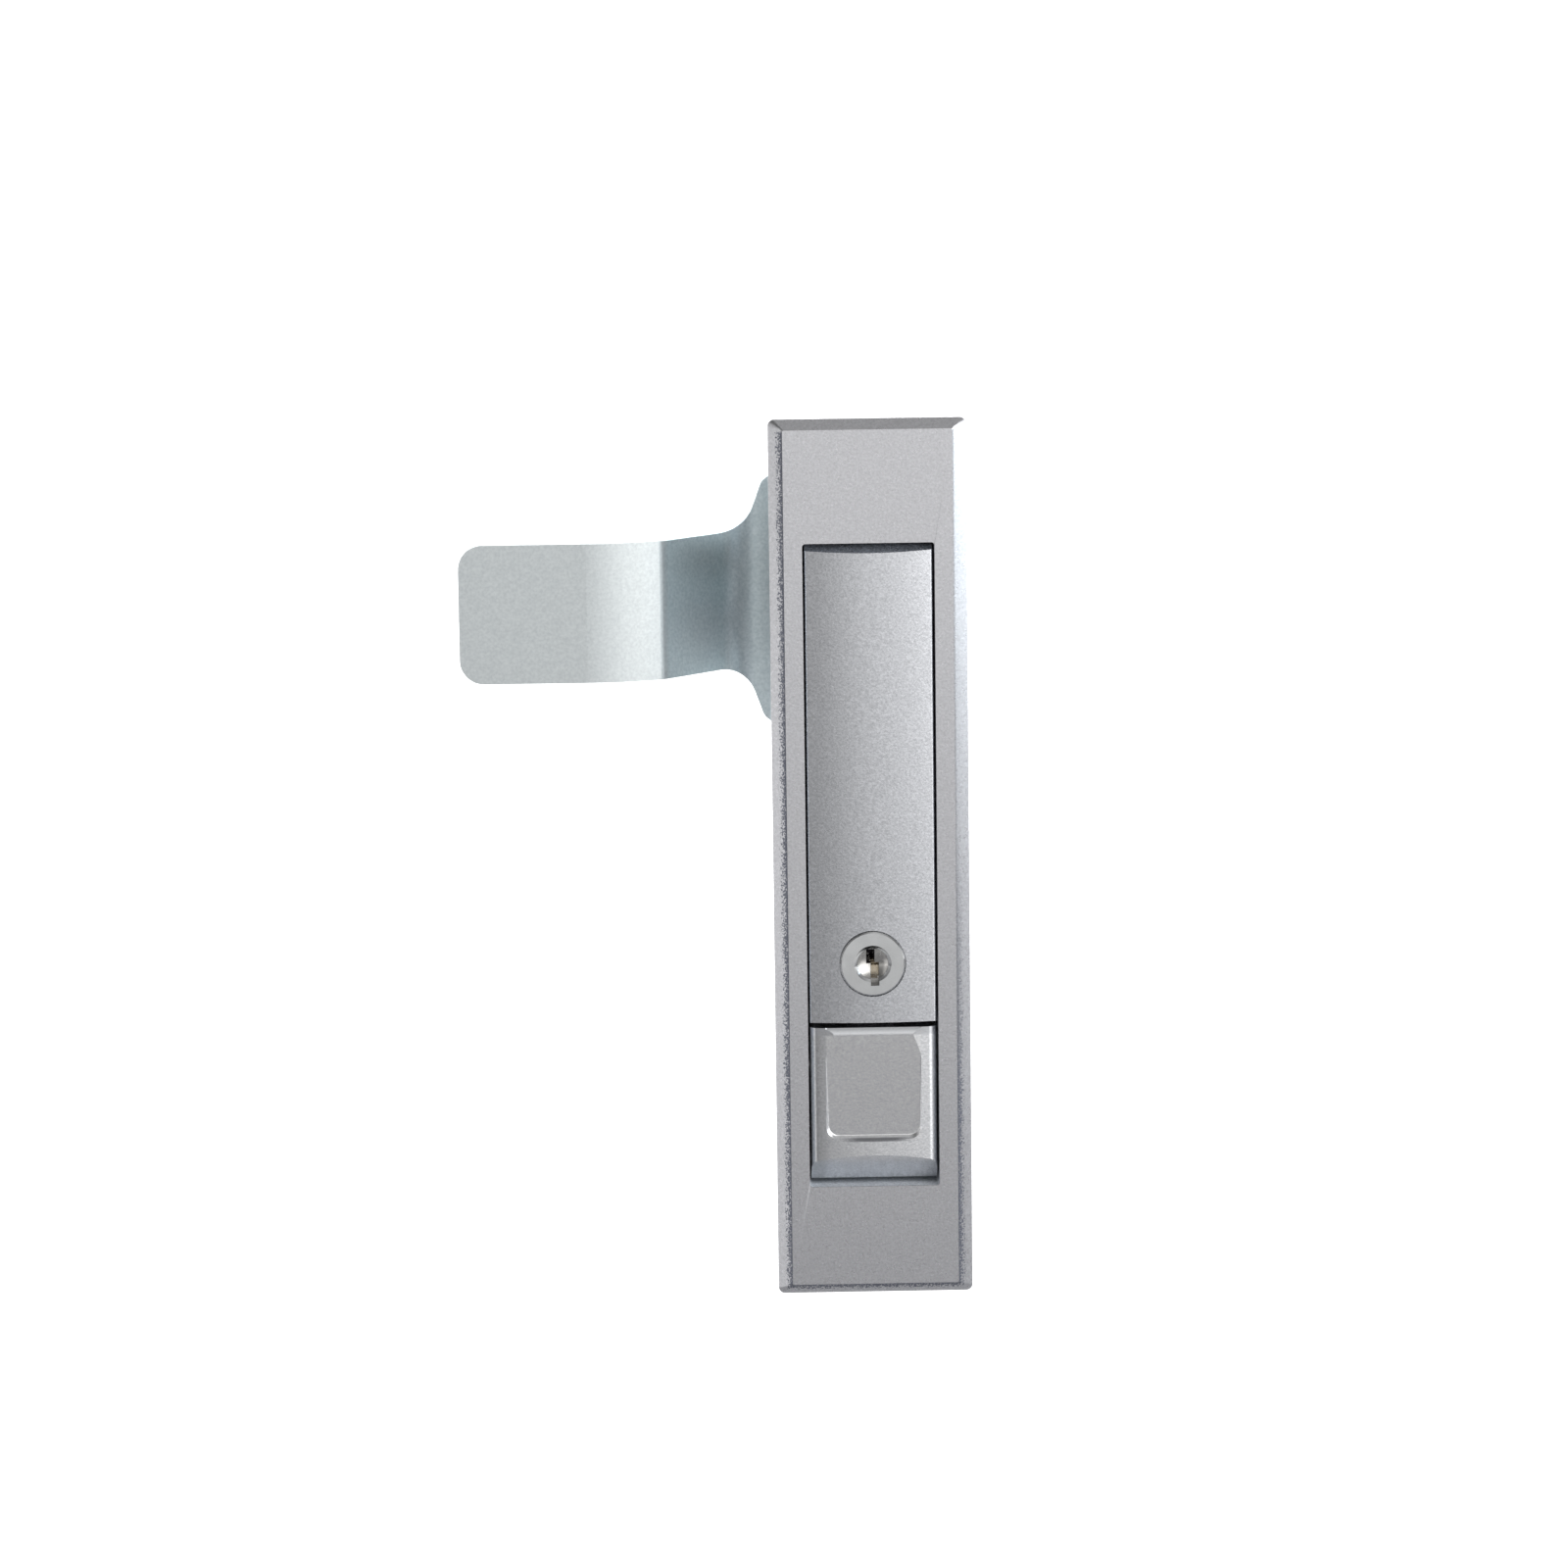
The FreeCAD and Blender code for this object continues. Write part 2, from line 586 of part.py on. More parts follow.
def wafers():
    """Brass plates across the keyway, each with its window for the key."""
    half = WAFER_WIDTH / 2
    tall = WAFER_HEIGHT / 2
    window = WAFER_WINDOW_WIDTH / 2
    made = []
    for n in range(WAFER_COUNT):
        start = wafer_start(n)
        end = start + WAFER_THICKNESS
        lift = WAFER_STAGGER * (n % 3 - 1)
        high = CYLINDER_Z + lift + WAFER_WINDOW_DROP + WAFER_WINDOW_HEIGHT / 2
        plate = box(-half, half, start, end, CYLINDER_Z - tall + lift, CYLINDER_Z + tall + lift)
        plate = plate.common(rod_y(PLUG_RADIUS - RUNNING, start, end, 0, CYLINDER_Z))
        made.append(plate.cut(box(-window, window, start - 1, end + 1, high - WAFER_WINDOW_HEIGHT, high)))
    return Part.makeCompound(made)


def lock_pawl():
    """Locking cam: its arm stands up at rest, leaning a little away from its turn."""
    half = PAWL_WIDTH / 2
    start = PAWL_FRONT
    end = start + PAWL_THICKNESS
    arm = box(-half, half, start, end, CYLINDER_Z, CYLINDER_Z + PAWL_REACH)
    arm = arm.common(rod_y(PAWL_REACH, start, end, 0, CYLINDER_Z))
    arm.rotate(Vector(0, start, CYLINDER_Z), Vector(0, 1, 0), -PAWL_LEAN)
    tail = PLUG_TAIL / 2
    pawl = fused(arm, rod_y(PAWL_HUB, start, end, 0, CYLINDER_Z))
    return pawl.cut(box(-tail, tail, start - 1, end + 1, CYLINDER_Z - tail, CYLINDER_Z + tail))


def pawl_screw():
    start = PAWL_FRONT + PAWL_THICKNESS
    end = start + PAWL_SCREW_HEAD
    screw = fused(
        rod_y(PAWL_SCREW_RADIUS, start - PAWL_SCREW_LENGTH, start + SEAT, 0, CYLINDER_Z),
        rod_y(PAWL_SCREW_HEAD_RADIUS, start, end, 0, CYLINDER_Z),
    )
    half = PAWL_SCREW_SLOT / 2
    slot = box(-FAR, FAR, end - PAWL_SCREW_SLOT_DEPTH, end + 1, CYLINDER_Z - half, CYLINDER_Z + half)
    return screw.cut(slot)


# Push button

def dish_floor():
    """Side view of the dish: a flat floor that rolls off backwards at the button's top edge."""
    shallow = FRONT + DISH_TOP_DEPTH
    deep = FRONT + DISH_DEPTH
    roll_foot = BUTTON_TOP - DISH_ROLL
    slope = math.atan((deep - shallow) / (roll_foot - DISH_BOTTOM))
    centre_y = shallow + DISH_ROLL_RADIUS * math.cos(slope)
    centre_z = roll_foot + DISH_ROLL_RADIUS * math.sin(slope)
    turn = math.asin((BUTTON_TOP + DISH_ROLL / 2 - centre_z) / DISH_ROLL_RADIUS)

    def on_roll(angle):
        y = centre_y - DISH_ROLL_RADIUS * math.cos(angle)
        return Vector(-FAR, y, centre_z + DISH_ROLL_RADIUS * math.sin(angle))

    start = on_roll(-slope)
    end = on_roll(turn)
    low = Vector(-FAR, deep, DISH_BOTTOM)
    front_low = Vector(-FAR, -FAR, DISH_BOTTOM - FAR)
    front_high = Vector(-FAR, -FAR, end.z)
    edges = [
        Part.Arc(end, on_roll((turn - slope) / 2), start).toShape(),
        Part.LineSegment(start, low).toShape(),
        Part.LineSegment(low, front_low).toShape(),
        Part.LineSegment(front_low, front_high).toShape(),
        Part.LineSegment(front_high, end).toShape(),
    ]
    return Part.Face(Part.Wire(edges)).extrude(Vector(2 * FAR, 0, 0))


def dish():
    """Thumb dish with drafted walls.

    Its floor is flat across and the button's front is crowned, so the dish is narrow at its top
    and reaches its full width lower down, where the floor lies deeper.
    """
    half = DISH_WIDTH / 2
    wide = FRONT - DISH_DEPTH
    deep = FRONT + DISH_DEPTH
    above = BUTTON_TOP + 2 * DISH_CORNER
    mouth = rounded_rectangle(
        wide, -half - DISH_DRAFT, half + DISH_DRAFT,
        DISH_BOTTOM - DISH_DRAFT, above + DISH_DRAFT, DISH_CORNER + DISH_DRAFT,
    )
    foot = rounded_rectangle(
        deep, -half + DISH_DRAFT, half - DISH_DRAFT,
        DISH_BOTTOM + DISH_DRAFT, above - DISH_DRAFT, DISH_CORNER - DISH_DRAFT,
    )
    walls = Part.makeLoft([mouth, foot], True, True)
    tool = walls.common(dish_floor())
    lowest = DISH_BOTTOM + DISH_DRAFT + 2 * DISH_CORNER
    along_floor = []
    for edge in tool.Edges:
        deepest = edge.BoundBox.YMax
        flat = edge.BoundBox.YLength < DISH_DEPTH - DISH_TOP_DEPTH + DISH_FOOT
        if flat and deepest > FRONT + DISH_TOP_DEPTH and edge.BoundBox.ZMin < lowest:
            along_floor.append(edge)
    return tool.makeFillet(DISH_FOOT, along_floor)


def push_button():
    bar = soften_long_edges(crowned_bar(BUTTON_BACK_END, BUTTON_TOP, BUTTON_BACK), BUTTON_ROUND)
    slant = prism_x(
        [(-FAR, BUTTON_TOP), (-FAR, BUTTON_FRONT_END), (FRONT, BUTTON_FRONT_END),
         (BUTTON_SLANT_BACK, BUTTON_BACK_END), (FAR, BUTTON_BACK_END), (FAR, BUTTON_TOP)],
        FAR,
    )
    bar = bar.common(slant)
    inside = HANDLE_WIDTH / 2 - BUTTON_WALL
    floor = FRONT + DISH_DEPTH + BUTTON_WALL
    bar = bar.cut(box(-inside, inside, floor, FAR, BUTTON_BACK_END + BUTTON_WALL, BUTTON_TOP - BUTTON_WALL))
    outside = HANDLE_WIDTH / 2
    for sign in (-1, 1):
        x0, x1 = sorted((sign * (outside - BUTTON_CHEEK), sign * outside))
        ear = rod_x(BUTTON_EAR_RADIUS, x0, x1, BUTTON_PIVOT_Y, BUTTON_PIVOT_Z)
        web = box(x0, x1, BUTTON_BACK - SEAT, BUTTON_PIVOT_Y,
                  BUTTON_PIVOT_Z - BUTTON_EAR_RADIUS, BUTTON_PIVOT_Z + BUTTON_EAR_RADIUS)
        bar = fused(bar, ear, web)
    bar = bar.cut(dish())
    return bar.cut(rod_x(BUTTON_PIN_RADIUS + RUNNING, -FAR, FAR, BUTTON_PIVOT_Y, BUTTON_PIVOT_Z))


def button_pin():
    half = BOX_WIDTH / 2
    return rod_x(BUTTON_PIN_RADIUS, -half, half, BUTTON_PIVOT_Y, BUTTON_PIVOT_Z)


def button_spring():
    """Compression spring between the pocket's floor and the button, its coils taken together."""
    top = FRONT + DISH_DEPTH + BUTTON_WALL + RUNNING
    bore = BUTTON_SPRING_RADIUS - BUTTON_SPRING_WIRE
    return tube_y(BUTTON_SPRING_RADIUS, bore, top, POCKET_FLOOR, 0, BUTTON_SPRING_Z)


# Spindle group

def spindle():
    half = SQUARE / 2
    return fused(
        rod_y(COLLAR_RADIUS, COLLAR_FRONT, COLLAR_FRONT + COLLAR_THICKNESS, 0, HINGE_Z),
        rod_y(JOURNAL_RADIUS, COLLAR_FRONT, JOURNAL_END, 0, HINGE_Z),
        box(-half, half, JOURNAL_END - SEAT, HUB_BACK - SEAT, HINGE_Z - half, HINGE_Z + half),
        rod_y(THREAD_RADIUS, HUB_BACK - 1, THREAD_END, 0, HINGE_Z),
    )


def square_hole(y0, y1):
    half = SQUARE / 2
    return box(-half, half, y0 - 1, y1 + 1, HINGE_Z - half, HINGE_Z + half)


def stop_washer():
    """Square-holed washer, notched so that the housing's post limits its turn."""
    start = JOURNAL_END
    end = HUB_FRONT
    disc = rod_y(STOP_RADIUS, start, end, 0, HINGE_Z)
    post_half = math.degrees(math.atan2(STOP_POST_WIDTH / 2, STOP_ROOT))
    margin = post_half + STOP_CLEARANCE_ANGLE
    first = 90 - SPINDLE_ANGLE - margin
    span = SPINDLE_ANGLE + 2 * margin
    points = [(0, HINGE_Z)]
    for n in range(5):
        angle = math.radians(first + span * n / 4)
        points.append((2 * STOP_RADIUS * math.cos(angle), HINGE_Z - 2 * STOP_RADIUS * math.sin(angle)))
    notch = prism_y(points, start - 1, end + 1).cut(rod_y(STOP_ROOT, start - 2, end + 2, 0, HINGE_Z))
    return disc.cut(notch).cut(square_hole(start, end))


def tongue_edges(offset):
    """The joggled line of the tongue's front face in X and Y, moved back by an offset.

    The blade turns back in a wide bend that ends in a tight one, and the slope runs out into the
    hub in a third.
    """
    wide = math.radians(TONGUE_BEND_ANGLE)
    steep = math.radians(TONGUE_SLOPE_ANGLE)

    def around(centre, radius, angle):
        return centre + Vector(radius * math.sin(angle), -radius * math.cos(angle), 0)

    start = Vector(-TONGUE_BEND_START, BLADE_FRONT, 0)
    centre1 = start + Vector(0, TONGUE_BEND_RADIUS, 0)
    centre2 = around(centre1, TONGUE_BEND_RADIUS - TONGUE_CREASE_RADIUS, wide)
    slope_start = around(centre2, TONGUE_CREASE_RADIUS, steep)
    slope_foot = HUB_FRONT - TONGUE_FOOT_RADIUS * (1 - math.cos(steep))
    run = (slope_foot - slope_start.y) / math.tan(steep)
    x3 = slope_start.x + run + TONGUE_FOOT_RADIUS * math.sin(steep)
    centre3 = Vector(x3, HUB_FRONT - TONGUE_FOOT_RADIUS, 0)
    a = TONGUE_BEND_RADIUS - offset
    b = TONGUE_CREASE_RADIUS - offset
    c = -TONGUE_FOOT_RADIUS - offset
    return [
        Vector(-FAR, BLADE_FRONT + offset, 0),
        start + Vector(0, offset, 0),
        around(centre1, a, wide / 2),
        around(centre1, a, wide),
        around(centre2, b, (wide + steep) / 2),
        around(centre2, b, steep),
        around(centre3, c, steep),
        around(centre3, c, steep / 2),
        Vector(x3, HUB_FRONT + offset, 0),
        Vector(FAR, HUB_FRONT + offset, 0),
    ]


def tongue_sheet():
    front = tongue_edges(0)
    back = tongue_edges(TONGUE_THICKNESS)

    def path(points):
        p = points
        return [
            Part.LineSegment(p[0], p[1]).toShape(),
            Part.Arc(p[1], p[2], p[3]).toShape(),
            Part.Arc(p[3], p[4], p[5]).toShape(),
            Part.LineSegment(p[5], p[6]).toShape(),
            Part.Arc(p[6], p[7], p[8]).toShape(),
            Part.LineSegment(p[8], p[9]).toShape(),
        ]

    edges = path(front) + [Part.LineSegment(front[-1], back[-1]).toShape()]
    edges += path(back) + [Part.LineSegment(back[0], front[0]).toShape()]
    wire = Part.Wire(Part.__sortEdges__(edges))
    sheet = Part.Face(wire).extrude(Vector(0, 0, 4 * HUB_RADIUS))
    sheet.translate(Vector(0, 0, HINGE_Z - 2 * HUB_RADIUS))
    return sheet


def tongue_outline():
    """Front view of the tongue: a long blade that flares into a wide hub with round ends."""
    front = BLADE_FRONT - TONGUE_THICKNESS
    back = HUB_BACK + TONGUE_THICKNESS
    half = TONGUE_WIDTH / 2
    blade = rounded_block(
        -TONGUE_REACH, 0, front, back,
        HINGE_Z - half, HINGE_Z + half, TONGUE_TIP_CORNER,
    )
    shoulder = math.radians(HUB_SHOULDER_ANGLE)
    rise = math.tan(math.radians(HUB_FLANK_ANGLE))
    foot = -HUB_RADIUS * math.cos(shoulder) - (HUB_RADIUS * math.sin(shoulder) - half) / rise
    flank_top = foot + (HUB_RADIUS - half) / rise
    upper = [(foot, half), (flank_top, HUB_RADIUS), (HUB_RIGHT, HUB_RADIUS)]
    lower = [(x, -z) for x, z in reversed(upper)]
    arms = prism_y([(x, HINGE_Z + z) for x, z in upper + lower], front, back)
    arms = arms.common(rod_y(HUB_RADIUS, front, back, 0, HINGE_Z))
    shape = fused(blade, arms)
    ends = []
    flank_feet = []
    for edge in shape.Edges:
        place = edge.BoundBox
        if place.XLength > 0.01 or place.ZLength > 0.01:
            continue
        x = place.XMin
        z = place.ZMin - HINGE_Z
        if abs(math.hypot(x, z) - HUB_RADIUS) < 0.01:
            ends.append(edge)
        elif abs(x - foot) < 0.01:
            flank_feet.append(edge)
    return shape.makeFillet(HUB_CORNER, ends).makeFillet(HUB_FILLET, flank_feet)


def tongue():
    body = tongue_sheet().common(tongue_outline())
    body = body.cut(square_hole(HUB_FRONT, HUB_BACK))
    for sign in (-1, 1):
        z = HINGE_Z + sign * ROD_HOLE_REACH
        body = body.cut(rod_y(ROD_HOLE_RADIUS, HUB_FRONT - 1, HUB_BACK + 1, 0, z))
    return body


def tongue_washer():
    start = HUB_BACK
    return tube_y(WASHER_RADIUS, THREAD_RADIUS + SHAFT_HOLE, start, start + WASHER_THICKNESS, 0, HINGE_Z)


def spring_washer():
    start = HUB_BACK + WASHER_THICKNESS
    end = start + SPRING_WASHER_THICKNESS
    ring = tube_y(SPRING_WASHER_RADIUS, THREAD_RADIUS + SHAFT_HOLE, start, end, 0, HINGE_Z)
    half = SPRING_WASHER_GAP / 2
    return ring.cut(box(-half, half, start - 1, end + 1, HINGE_Z, HINGE_Z + 2 * SPRING_WASHER_RADIUS))


def tongue_nut():
    """Hexagon nut whose outer corners are chamfered by a cone."""
    start = NUT_FRONT
    end = NUT_BACK
    nut = hexagon_y(NUT_FLATS, start, end, 0, HINGE_Z)
    top = NUT_FLATS / 2 - NUT_CHAMFER
    cone = Part.makeCone(top + 2 * NUT_HEIGHT, top, 2 * NUT_HEIGHT,
                         Vector(0, end - 2 * NUT_HEIGHT, HINGE_Z), Vector(0, 1, 0))
    return nut.common(cone).cut(rod_y(THREAD_RADIUS, start - 1, end + 1, 0, HINGE_Z))


# Clamps that hold the lock in the door

def bracket(screw_z, outward):
    """Clamp plate whose lip stands at its outer end, up or down from its screw."""
    half = BRACKET_WIDTH / 2
    inner = screw_z - outward * BRACKET_INSIDE
    outer = screw_z + outward * BRACKET_OUTSIDE
    lip_inner = outer - outward * BRACKET_THICKNESS
    plate = rounded_block(
        -half, half, BRACKET_FRONT, BRACKET_BACK,
        min(inner, outer), max(inner, outer), BRACKET_CORNER,
    )
    lip_half = half - BRACKET_CORNER
    lip = box(
        -lip_half, lip_half, BRACKET_BACK - SEAT, BRACKET_BACK + BRACKET_LIP,
        min(lip_inner, outer), max(lip_inner, outer),
    )
    hole = rod_y(SCREW_RADIUS + SHAFT_HOLE, BRACKET_FRONT - 1, BRACKET_BACK + 1, 0, screw_z)
    return fused(plate, lip).cut(hole)


def bracket_washer(z):
    end = BRACKET_BACK + SCREW_WASHER_THICKNESS
    return tube_y(SCREW_WASHER_RADIUS, SCREW_RADIUS + SHAFT_HOLE, BRACKET_BACK, end, 0, z)


def bracket_screw(z):
    seat = BRACKET_BACK + SCREW_WASHER_THICKNESS
    end = seat + SCREW_HEAD
    screw = fused(
        rod_y(SCREW_RADIUS, BRACKET_FRONT - SCREW_DEPTH, seat + SEAT, 0, z),
        rod_y(SCREW_HEAD_RADIUS, seat, end, 0, z),
    )
    half = SCREW_SLOT / 2
    arm = SCREW_CROSS / 2
    depth = end - SCREW_SLOT_DEPTH
    cross = box(-arm, arm, depth, end + 1, z - half, z + half)
    cross = cross.fuse(box(-half, half, depth, end + 1, z - arm, z + arm))
    return screw.cut(cross)


def at_both_screws(make):
    return Part.makeCompound([make(UPPER_SCREW_Z), make(LOWER_SCREW_Z)])


NODES = {
    "housing": housing,
    "hinge_head": hinge_head,
    "handle_spring": handle_spring,
    "button_pin": button_pin,
    "button_spring": button_spring,
    "upper_bracket": lambda: bracket(UPPER_SCREW_Z, 1),
    "lower_bracket": lambda: bracket(LOWER_SCREW_Z, -1),
    "bracket_washers": lambda: at_both_screws(bracket_washer),
    "bracket_screws": lambda: at_both_screws(bracket_screw),
    "handle": handle,
    "hinge_pin": hinge_pin,
    "cylinder_barrel": cylinder_barrel,
    "cylinder_clip": cylinder_clip,
    "cylinder_plug": cylinder_plug,
    "cylinder_wafers": wafers,
    "lock_pawl": lock_pawl,
    "pawl_screw": pawl_screw,
    "push_button": push_button,
    "spindle": spindle,
    "stop_washer": stop_washer,
    "tongue": tongue,
    "tongue_washer": tongue_washer,
    "spring_washer": spring_washer,
    "tongue_nut": tongue_nut,
}


def main():
    os.makedirs("parts", exist_ok=True)
    for name, make in NODES.items():
        shape = make()
        solids = shape.Solids
        if not solids or not shape.isValid():
            raise ValueError(f"{name} is not a valid solid")
        shape.exportStep(f"parts/{name}.step")
        print(name, len(solids), "solids", round(sum(s.Volume for s in solids), 1), "mm3")


main()
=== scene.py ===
import bmesh
import bpy
import json
import math

from mathutils import Matrix, Vector


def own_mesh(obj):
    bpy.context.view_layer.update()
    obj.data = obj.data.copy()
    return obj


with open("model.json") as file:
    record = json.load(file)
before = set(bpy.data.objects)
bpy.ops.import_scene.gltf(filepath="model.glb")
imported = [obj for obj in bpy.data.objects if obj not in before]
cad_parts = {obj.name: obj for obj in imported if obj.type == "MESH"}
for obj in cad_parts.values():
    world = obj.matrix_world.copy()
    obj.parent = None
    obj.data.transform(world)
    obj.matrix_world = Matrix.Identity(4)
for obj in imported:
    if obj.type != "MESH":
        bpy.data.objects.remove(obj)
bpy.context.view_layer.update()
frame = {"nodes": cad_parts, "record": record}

NODES = frame["nodes"]


# Materials

CRISP = 0.00002


class Nodes:
    """Builds one material's nodes, with the pieces that every finish here shares.

    A share is a number from 0 to 1 that varies over the surface. Places are in metres, in the lock's
    own frame, and the sizes of textures are in millimetres.
    """

    def __init__(self, name):
        self.material = bpy.data.materials.new(name)
        self.material.use_nodes = True
        self.tree = self.material.node_tree
        self.shader = self.tree.nodes["Principled BSDF"]
        self.place = self.add("ShaderNodeTexCoord").outputs["Object"]

    def add(self, kind, **values):
        node = self.tree.nodes.new(kind)
        for key, value in values.items():
            setattr(node, key, value)
        return node

    def link(self, out, into):
        self.tree.links.new(out, into)

    def set(self, socket, value):
        self.shader.inputs[socket].default_value = value

    def into(self, socket, out):
        self.link(out, self.shader.inputs[socket])

    def axes(self):
        parts = self.add("ShaderNodeSeparateXYZ")
        self.link(self.place, parts.inputs["Vector"])
        return parts.outputs["X"], parts.outputs["Y"], parts.outputs["Z"]

    def noise(self, size_mm, detail=2.0, rough=0.5, stretch=(1, 1, 1)):
        """Noise whose features measure about size_mm, longer along an axis with a small stretch."""
        per_metre = 1000.0 / size_mm
        mapping = self.add("ShaderNodeMapping")
        mapping.inputs["Scale"].default_value = [per_metre * s for s in stretch]
        self.link(self.place, mapping.inputs["Vector"])
        node = self.add("ShaderNodeTexNoise")
        node.inputs["Scale"].default_value = 1.0
        node.inputs["Detail"].default_value = detail
        node.inputs["Roughness"].default_value = rough
        self.link(mapping.outputs["Vector"], node.inputs["Vector"])
        return node.outputs["Fac"]

    def span(self, value, low, high, from_low=0.35, from_high=0.65):
        """Takes from_low to from_high, by default the middle of a noise's range, to low to high."""
        node = self.add("ShaderNodeMapRange")
        node.inputs["From Min"].default_value = from_low
        node.inputs["From Max"].default_value = from_high
        node.inputs["To Min"].default_value = low
        node.inputs["To Max"].default_value = high
        self.link(value, node.inputs["Value"])
        return node.outputs["Result"]

    def rise(self, value, low, high):
        """A share that is 0 up to low and 1 from high on."""
        return self.span(value, 0.0, 1.0, from_low=low, from_high=high)

    def fall(self, value, low, high):
        """A share that is 1 up to low and 0 from high on."""
        return self.span(value, 1.0, 0.0, from_low=low, from_high=high)

    def math(self, operation, first, second=0.0):
        node = self.add("ShaderNodeMath", operation=operation)
        for socket, value in zip(node.inputs, (first, second)):
            if isinstance(value, float):
                socket.default_value = value
            else:
                self.link(value, socket)
        return node.outputs["Value"]

    def times(self, first, second):
        return self.math("MULTIPLY", first, second)

    def larger(self, first, second):
        return self.math("MAXIMUM", first, second)

    def between(self, value, low, high, soft):
        """1 where value lies between low and high, falling to 0 over the width soft outside."""
        return self.times(self.rise(value, low - soft, low), self.fall(value, high, high + soft))

    def window(self, left, right, low, high, soft=CRISP):
        """1 inside an upright rectangle, whatever the depth."""
        x, _, z = self.axes()
        return self.times(self.between(x, left, right, soft), self.between(z, low, high, soft))

    def ramp(self, value, stops):
        node = self.add("ShaderNodeValToRGB")
        elements = node.color_ramp.elements
        while len(elements) < len(stops):
            elements.new(0.5)
        for element, (place, colour) in zip(elements, stops):
            element.position = place
            element.color = (*colour, 1.0)
        self.link(value, node.inputs["Fac"])
        return node.outputs["Color"]

    def speckled(self, speckle, dark, light):
        """A colour that goes from dark to light over most of the range of a noise."""
        return self.ramp(speckle, [(0.3, dark), (0.7, light)])

    def blend(self, share, first, second):
        """Goes from the first colour to the second by a share; either may be a plain colour."""
        node = self.add("ShaderNodeMixRGB")
        self.link(share, node.inputs["Fac"])
        for socket, value in zip(("Color1", "Color2"), (first, second)):
            if isinstance(value, tuple):
                node.inputs[socket].default_value = (*value, 1.0)
            else:
                self.link(value, node.inputs[socket])
        return node.outputs["Color"]

    def bump(self, height, depth_mm, under=None):
        node = self.add("ShaderNodeBump")
        node.inputs["Distance"].default_value = depth_mm / 1000.0
        self.link(height, node.inputs["Height"])
        if under is not None:
            self.link(under, node.inputs["Normal"])
        return node.outputs["Normal"]

    def grain(self, size_mm, depth_mm, stretch=(1, 1, 1), under=None):
        """A surface normal that fine grain disturbs, on top of the one under it."""
        return self.bump(self.noise(size_mm, rough=0.7, stretch=stretch), depth_mm, under)


# Painted shade for openings and parts that lie in shade
PAINTED_SHADE_DARK = (0.022, 0.020, 0.024)


def metal(name, dark, light, rough, cloud_mm, grain_mm, grain_depth, cloud_span=(0.35, 0.65),
          stretch=(1, 1, 1), wave_mm=None, wave_depth=None, shade_windows=()):
    """A metal finish: clouded colour, a roughness that varies with wear, and a fine grain.

    It lies in slow waves where wave_mm is given. Each window it is given is an opening or a part
    that gets painted shade, a dark colour where it lies in shade.
    """
    m = Nodes(name)
    m.set("Metallic", 1.0)
    cloud = m.noise(cloud_mm, detail=3.0, stretch=stretch)
    colour = m.ramp(cloud, [(cloud_span[0], dark), (cloud_span[1], light)])
    # Each window gets painted shade: the dark colour stands in for the shade in an opening or behind
    # a gap
    for shade_window in shade_windows:
        colour = m.blend(m.window(*shade_window), colour, PAINTED_SHADE_DARK)
    m.into("Base Color", colour)
    wear = m.noise(cloud_mm * 1.7, detail=3.0, stretch=stretch)
    m.into("Roughness", m.span(wear, *rough))
    wavy = m.bump(m.noise(wave_mm, detail=1.0), wave_depth) if wave_mm else None
    m.into("Normal", m.grain(grain_mm, grain_depth, stretch, wavy))
    return m.material


# Satin chrome on a blasted casting: its speckle, worn patches and grain, in millimetres

SATIN_SPECKLE = 0.42
SATIN_WEAR = 0.71
SATIN_GRAIN = 0.36
SATIN_GRAIN_DEPTH = 0.012


# The bezel's raised face, and its pocket

FACE_HALF_WIDTH = 0.0155
FACE_HALF_HEIGHT = 0.0798
FACE_Y = -0.0030
POCKET = (-0.01215, 0.01215, -0.0615, 0.0615)
POCKET_Y = (FACE_Y + 0.0003, 0.01405)
POCKET_SOFT = 0.0001
CAST_METALLIC = 0.25
CAST_ROUGHNESS = 0.72

# The band of painted shade and rougher finish in the step round the face, and where each of its
# limits fades

STEP_INNER = (-0.00004, 0.00004)
STEP_OUTER = (0.0004, 0.0009)
STEP_RAGGED = (-0.0008, 0.0006)
STEP_Y = (FACE_Y + 0.0008, FACE_Y + 0.0012)
STEP_LEFT_X = (-0.001, 0.001)
STEP_LOW_Z = (-0.045, 0.005)
STEP_TOP_Z = (FACE_HALF_HEIGHT - 0.0004, FACE_HALF_HEIGHT)
STEP_SHADE_COLOUR = (0.21, 0.22, 0.26)
STEP_ROUGHNESS = 0.42


